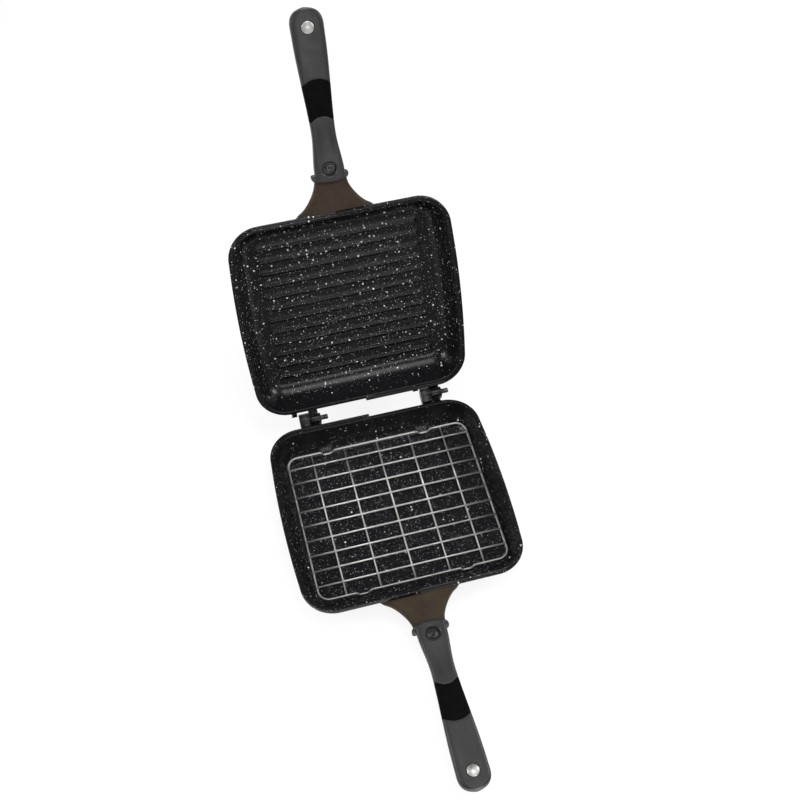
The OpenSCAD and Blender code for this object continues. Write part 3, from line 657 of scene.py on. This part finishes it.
def curve(knots, s):
    """Smooth curve through (position, value) knots."""
    i = max(0, min(len(knots) - 2, sum(1 for k in knots[1:] if k[0] <= s)))

    def slope(j):
        a, b = knots[max(j - 1, 0)], knots[min(j + 1, len(knots) - 1)]
        return (b[1] - a[1]) / (b[0] - a[0])
    h = knots[i + 1][0] - knots[i][0]
    t = min(max((s - knots[i][0]) / h, 0), 1)
    return ((2 * t ** 3 - 3 * t ** 2 + 1) * knots[i][1] + (t ** 3 - 2 * t ** 2 + t) * slope(i) * h
            + (3 * t ** 2 - 2 * t ** 3) * knots[i + 1][1] + (t ** 3 - t ** 2) * slope(i + 1) * h)


# Along the handle: half its width, its depth, the sag of a section's middle, and the share of
# the thumb hollow's depth
WIDTHS = [(HANDLE_Y, 17.1), (SCREW_Y + 4, 16.5), (HANDLE_Y + 44, 13.4), (SLEEVE_Y + 6, 13.8),
          (SLEEVE_END + 4, 16.0), (TIP_Y - TIP_L - 28, 17.4), (TIP_Y - TIP_L, 17.9)]
HEIGHTS = [(HANDLE_Y, 19.5), (HANDLE_Y + 44, 16.5), (SLEEVE_END, 18.0),
           (TIP_Y - TIP_L - 28, 19.0), (TIP_Y, 19.0)]
SAGS = [(HANDLE_Y, 0), (HANDLE_Y + 16, 0), (SLEEVE_Y, SLEEVE_SAG), (SLEEVE_END, SLEEVE_SAG),
        (MAGNET_Y - 15, 0), (TIP_Y, 0)]
THUMBS = [(HANDLE_Y, 0), (SCREW_Y + 6, 0.25), (HANDLE_Y + 38, 1), (SLEEVE_Y, 0.35),
          (SLEEVE_END, 0.15), (TIP_Y - TIP_L - 12, 0), (TIP_Y, 0)]
SECTION_STEPS = 96
# Powers of the superellipses that the tip's outline and a section's top and bottom follow
TIP_POWER, TOP_POWER, BOTTOM_POWER = 2.6, 5.0, 2.3


def section(i, station):
    """Point i of the handle's section at (distance along it, inset)."""
    y, inset = station
    tip = max(0.0, (y - (TIP_Y - TIP_L)) / TIP_L)
    width = curve(WIDTHS, y) * max(0.16, (1 - tip ** TIP_POWER) ** (1 / TIP_POWER)) - inset
    top = -DROP - inset
    bottom = -DROP - curve(HEIGHTS, y) * (1 - 0.22 * tip ** 3) + inset
    a = 2 * math.pi * (i + 0.5) / SECTION_STEPS
    upside = math.sin(a) > 0
    power = 2 / (TOP_POWER if upside else BOTTOM_POWER)
    u = math.copysign(abs(math.cos(a)) ** power, math.cos(a))
    lift = abs(math.sin(a)) ** power
    z = WIDE_Z + ((top if upside else bottom) - WIDE_Z) * lift
    if upside:
        z -= THUMB * curve(THUMBS, y) * max(0.0, 1 - (u / 0.8) ** 2)
    return Vector((u * width, y + curve(SAGS, y) * (1 - u * u), z))


def turned(profile, y):
    """A solid of revolution about an upright axis at y, from (radius, height) points that start and
    end on the axis."""
    bm = bmesh.new()
    chain = [bm.verts.new((r, 0, z)) for r, z in profile]
    edges = [bm.edges.new(pair) for pair in zip(chain, chain[1:])]
    bmesh.ops.spin(bm, geom=chain + edges, cent=(0, 0, 0), axis=(0, 0, 1), angle=2 * math.pi,
                   steps=64, use_merge=True)
    bmesh.ops.remove_doubles(bm, verts=bm.verts, dist=1e-4)
    bmesh.ops.translate(bm, vec=(0, y, 0), verts=bm.verts)
    return bm


def handle_body():
    """The handle shell with the groove for its sleeve, the screw's recess and the magnet's pocket."""
    depth = 1.6
    # How the shell rounds down into the groove: distance from the groove's end, inset
    shoulder = [(1.0, 0.0), (0.7, 0.05), (0.42, 0.18), (0.18, 0.42), (0.04, 0.75), (0.0, depth)]
    # The stations close up towards the tip, where the outline turns fastest
    closing = (0.12, 0.24, 0.36, 0.47, 0.57, 0.66, 0.74, 0.81, 0.87, 0.92, 0.96, 0.985, 1)
    stations = [(y, 0.0) for y in spread(HANDLE_Y - 2, SLEEVE_Y - 1.5, 30)]
    stations += [(SLEEVE_Y - d, inset) for d, inset in shoulder]
    stations += [(y, depth) for y in spread(SLEEVE_Y + 5, SLEEVE_END - 5, 4)]
    stations += [(SLEEVE_END + d, inset) for d, inset in reversed(shoulder)]
    stations += [(y, 0.0) for y in spread(SLEEVE_END + 4, TIP_Y - TIP_L, 16)]
    stations += [(TIP_Y - TIP_L + TIP_L * s, 0.0) for s in closing]
    bm = bmesh.new()
    ring = bmesh.ops.create_circle(bm, segments=SECTION_STEPS, radius=1, cap_ends=True)["verts"]
    last = loft(bm, ring, stations, section)
    bmesh.ops.edgeloop_fill(bm, edges=ring_edges(last))
    recess = turned([(0, -6), (7.1, -6), (7.35, -5.6), (7.4, -3.4), (7.6, -2.5), (8.0, -1.8), (8.6, -1.2),
                     (9.3, -0.7), (10.2, -0.2), (11.4, 0.4), (11.4, 3), (0, 3)], SCREW_Y)
    pocket = turned([(0, -6.45), (MAGNET_R + 0.1, -6.45), (MAGNET_R + 0.1, -1.6), (MAGNET_R + 0.25, -1.1),
                     (MAGNET_R + 0.6, -0.7), (MAGNET_R + 1.4, -0.1), (MAGNET_R + 1.4, 3), (0, 3)], MAGNET_Y)
    return joined(bm, [recess, pocket], "DIFFERENCE")


def sleeve():
    """The black grip sleeve, a closed band with eased rims that lies in the groove."""
    gap, rim, deep = 0.12, 0.35, 1.5
    start, end = SLEEVE_Y + gap, SLEEVE_END - gap
    outer = [(start, rim), (start + 0.12, 0.12), (start + rim, 0.0)]
    outer += [(y, 0.0) for y in spread(start + 2, end - 2, 20)]
    outer += [(end - rim, 0.0), (end - 0.12, 0.12), (end, rim)]
    inner = [(end, deep)] + [(y, deep) for y in spread(end - 5, start + 5, 4)] + [(start, deep)]
    bm = bmesh.new()
    ring = bmesh.ops.create_circle(bm, segments=SECTION_STEPS, radius=1)["verts"]
    last = loft(bm, ring, outer + inner, section)
    bmesh.ops.bridge_loops(bm, edges=ring_edges(ring) + ring_edges(last))
    return bm


# The guard's width, height, corner radius and top
COLLAR_W, COLLAR_H, COLLAR_R, COLLAR_TOP = 42.2, 20.5, 8.0, -1.0
# The guard's ends curl towards the tip, and its middle stands this much towards the pan
COLLAR_BOW, COLLAR_BACK = 3.4, 1.1


def collar():
    """The finger guard: a plate with full round edges, bowed round the root of the handle."""
    bm = bmesh.new()
    corners = bmesh.ops.create_grid(bm, x_segments=1, y_segments=1, size=1,
                                    matrix=Matrix.Rotation(math.pi / 2, 4, "X"))["verts"]
    bmesh.ops.scale(bm, vec=(COLLAR_W / 2, 1, COLLAR_H / 2), verts=corners)
    bmesh.ops.bevel(bm, geom=corners, offset=COLLAR_R, segments=14, profile=0.5,
                    affect="VERTICES", material=-1)
    for i in range(-6, 7):
        # Cuts every 1.9 mm, so that the plate can bend
        bmesh.ops.bisect_plane(bm, geom=bm.verts[:] + bm.edges[:] + bm.faces[:],
                               plane_co=(i * 1.9, 0, 0), plane_no=(1, 0, 0))
    made = bmesh.ops.extrude_face_region(bm, geom=bm.faces[:])["geom"]
    far = [g for g in made if isinstance(g, bmesh.types.BMVert)]
    bmesh.ops.translate(bm, vec=(0, COLLAR_T, 0), verts=far)
    rims = [e for e in bm.edges if abs(e.verts[0].co.y - e.verts[1].co.y) < 1e-5]
    rims = [e for e in rims if len(e.link_faces) == 2 and e.calc_face_angle() > 1]
    bmesh.ops.bevel(bm, geom=rims, offset=2.1, segments=6, profile=0.5, affect="EDGES", material=-1)
    for v in bm.verts:
        v.co.y += COLLAR_BOW * (2 * v.co.x / COLLAR_W) ** 2 - COLLAR_BACK
    bmesh.ops.translate(bm, vec=(0, COLLAR_Y, COLLAR_TOP - COLLAR_H / 2), verts=bm.verts)
    return bm


for half, place in PLACES.items():
    body = half + "_half"
    finish_piece(handle_body(), half + "_handle_shell", [PHENOLIC], body, [half + "_handle"],
                 place)
    finish_piece(sleeve(), half + "_grip_sleeve", [SLEEVE], body, [half + "_sleeve"],
                 place)
    finish_piece(collar(), half + "_finger_guard", [PHENOLIC], body, [half + "_collar"],
                 place)
    merged_copy(half + "_screw", half + "_handle_screw", BLACK_STEEL)
    merged_copy(half + "_washer", half + "_screw_washer", BLACK_STEEL)
    merged_copy(half + "_nut", half + "_sleeve_nut", ZINC)
    merged_copy(half + "_magnet", half + "_magnet_disc", NICKEL)
    merged_copy(half + "_keeper", half + "_magnet_keeper", ZINC)
for side in ("left", "right"):
    merged_copy(side + "_hinge_pin", side + "_pin", BLACK_STEEL)

# ---------------------------------------------------------------- wire rack

# Gaps from the rim to the frame wire's centre line: at the sides, beside the hinge and at the neck
RACK_IN_SIDE, RACK_IN_HINGE, RACK_IN_NECK = 20.3, 21.9, 28.5
# The frame's width, length and corner radius, and how far it stands off the middle along x
RACK_W, RACK_L, RACK_R = 2 * HALF_W - 2 * RACK_IN_SIDE, 2 * HALF_L - RACK_IN_HINGE - RACK_IN_NECK, 13.0
RACK_SHIFT = 2.2
RACK_MID = Y0 + RACK_IN_HINGE + RACK_L / 2
FRAME_D = 2.6
# How deep a foot is bent, its width, the width of its flat, and its gap over the floor
FOOT_DEPTH, FOOT_W, FOOT_FLAT, FOOT_GAP = 6.0, 20.0, 8.0, 0.6
RACK_Z = FLOOR_Z + FOOT_GAP + FOOT_DEPTH + FRAME_D / 2
# How far inside the frame the outer long wires lie. Each foot is halfway from one to the next wire.
LONG_WIRE_IN = 30.7
FOOT_X = 1.5 * (RACK_W - 2 * LONG_WIRE_IN) / 4


def foot_dip(x):
    """How far the end wire dips at x, where its feet are bent."""
    off = abs(abs(x) - FOOT_X)
    s = min(max((FOOT_W / 2 - off) / (FOOT_W / 2 - FOOT_FLAT / 2), 0), 1)
    return -FOOT_DEPTH * (3 * s * s - 2 * s ** 3)


def rack_path():
    """Closed centre line of the frame wire."""
    path = []
    # Each corner with the straight wire that follows it: its signs and the angle it starts at
    for sx, sy, start in ((1, 1, 0), (-1, 1, 90), (-1, -1, 180), (1, -1, 270)):
        for i in range(13):
            a = math.radians(start + 90 * i / 12)
            path.append(Vector((sx * (RACK_W / 2 - RACK_R) + RACK_R * math.cos(a),
                                sy * (RACK_L / 2 - RACK_R) + RACK_R * math.sin(a), 0)))
        if start in (0, 180):
            reach = RACK_W / 2 - RACK_R - 1.5
            xs = spread(sx * reach, -sx * reach, 120)
            path += [Vector((x, sy * RACK_L / 2, foot_dip(x))) for x in xs]
        else:
            reach = RACK_L / 2 - RACK_R - 2
            path += [Vector((sx * RACK_W / 2, y, 0)) for y in spread(sy * reach, -sy * reach, 12)]
    return path


def frame_wire():
    """The frame wire, swept round its path."""
    path = rack_path()
    sides = 20

    def point(i, station):
        here, ahead, behind = path[station], path[(station + 1) % len(path)], path[station - 1]
        along = (ahead - behind).normalized()
        out = along.cross(Vector((0, 0, 1))).normalized()
        a = 2 * math.pi * i / sides
        return here + FRAME_D / 2 * (math.cos(a) * out + math.sin(a) * along.cross(out))
    bm = bmesh.new()
    ring = bmesh.ops.create_circle(bm, segments=sides, radius=1)["verts"]
    last = loft(bm, ring, list(range(len(path))), point)
    bmesh.ops.bridge_loops(bm, edges=ring_edges(ring) + ring_edges(last))
    bmesh.ops.translate(bm, vec=(RACK_SHIFT, RACK_MID, RACK_Z), verts=bm.verts)
    return bm


# The frame wire takes the darker copy of the chrome, whose grey is painted shade
finish_piece(frame_wire(), "rack_frame_wire", [SHADED_FRAME_CHROME], "rack", ["rack_frame"],
             PLACES["lower"])
merged_copy("rack_long_wires", "rack_long_rods", CHROME)
merged_copy("rack_cross_wires", "rack_cross_rods", CHROME)

# ---------------------------------------------------------------- floor, light and finish

# Half the floor's side, in metres
FLOOR_REACH = 2.2


def studio_floor():
    """A matt pale floor. The camera and mirrors see it brighter than the rest does, so that it
    meets the white background, and it still takes the shadow."""
    bm = bmesh.new()
    bmesh.ops.create_grid(bm, x_segments=1, y_segments=1, size=FLOOR_REACH)
    mesh = bpy.data.meshes.new("studio_floor")
    bm.to_mesh(mesh)
    bm.free()
    floor = bpy.data.objects.new("studio_floor", mesh)
    floor.location.z = -0.0005
    scene.collection.objects.link(floor)
    material, tree, shader, _ = blank("white_floor")
    shader.inputs["Base Color"].default_value = srgb("727272")
    shader.inputs["Roughness"].default_value = 0.9
    shader.inputs["Specular IOR Level"].default_value = 0.0
    rays = add(tree, "ShaderNodeLightPath")
    seen = add(tree, "ShaderNodeMath", {0: rays.outputs["Is Camera Ray"], 1: rays.outputs["Is Glossy Ray"]},
               operation="MAXIMUM")
    glow = add(tree, "ShaderNodeMapRange", {"Value": seen.outputs[0], "To Min": 0.25, "To Max": 0.87})
    light = add(tree, "ShaderNodeEmission", {"Strength": glow.outputs["Result"]})
    both = add(tree, "ShaderNodeAddShader", {0: shader.outputs[0], 1: light.outputs[0]})
    tree.links.new(both.outputs[0], tree.nodes["Material Output"].inputs["Surface"])
    mesh.materials.append(material)


def softbox(name, place, aim, size, power):
    """A rectangular area lamp at place that points at aim."""
    lamp = bpy.data.lights.new(name, "AREA")
    lamp.shape = "RECTANGLE"
    lamp.size, lamp.size_y = size
    lamp.energy = power
    holder = bpy.data.objects.new(name, lamp)
    facing = (Vector(aim) - Vector(place)).to_track_quat("-Z", "Y").to_matrix()
    holder.matrix_world = Matrix.Translation(place) @ facing.to_4x4()
    scene.collection.objects.link(holder)


studio_floor()
softbox("overhead_softbox", (0.45, -0.3, 3.5), (0, 0.1, 0), (1.4, 1.7), 42)
softbox("front_softbox", (0.25, -1.75, 1.25), (0, 0.1, 0.02), (0.8, 0.9), 10)
softbox("right_lamp", (1.27, 0.1, 0.87), (0, 0.1, 0.05), (0.45, 0.45), 9)
softbox("left_lamp", (-1.27, 0.1, 0.87), (0, 0.1, 0.05), (0.45, 0.45), 9)

world = bpy.data.worlds.new("studio")
scene.world = world
world.use_nodes = True
tree = world.node_tree
rays = add(tree, "ShaderNodeLightPath")
mirrored = add(tree, "ShaderNodeMapRange", {
    "Value": rays.outputs["Is Glossy Ray"], "To Min": 0.28, "To Max": 0.32})
seen = add(tree, "ShaderNodeMath", {0: rays.outputs["Is Camera Ray"], 1: mirrored.outputs["Result"]},
           operation="MAXIMUM")
tree.links.new(seen.outputs[0], tree.nodes["Background"].inputs["Strength"])
tree.nodes["Background"].inputs["Color"].default_value = (1, 1, 1, 1)
scene.view_settings.view_transform = "Standard"
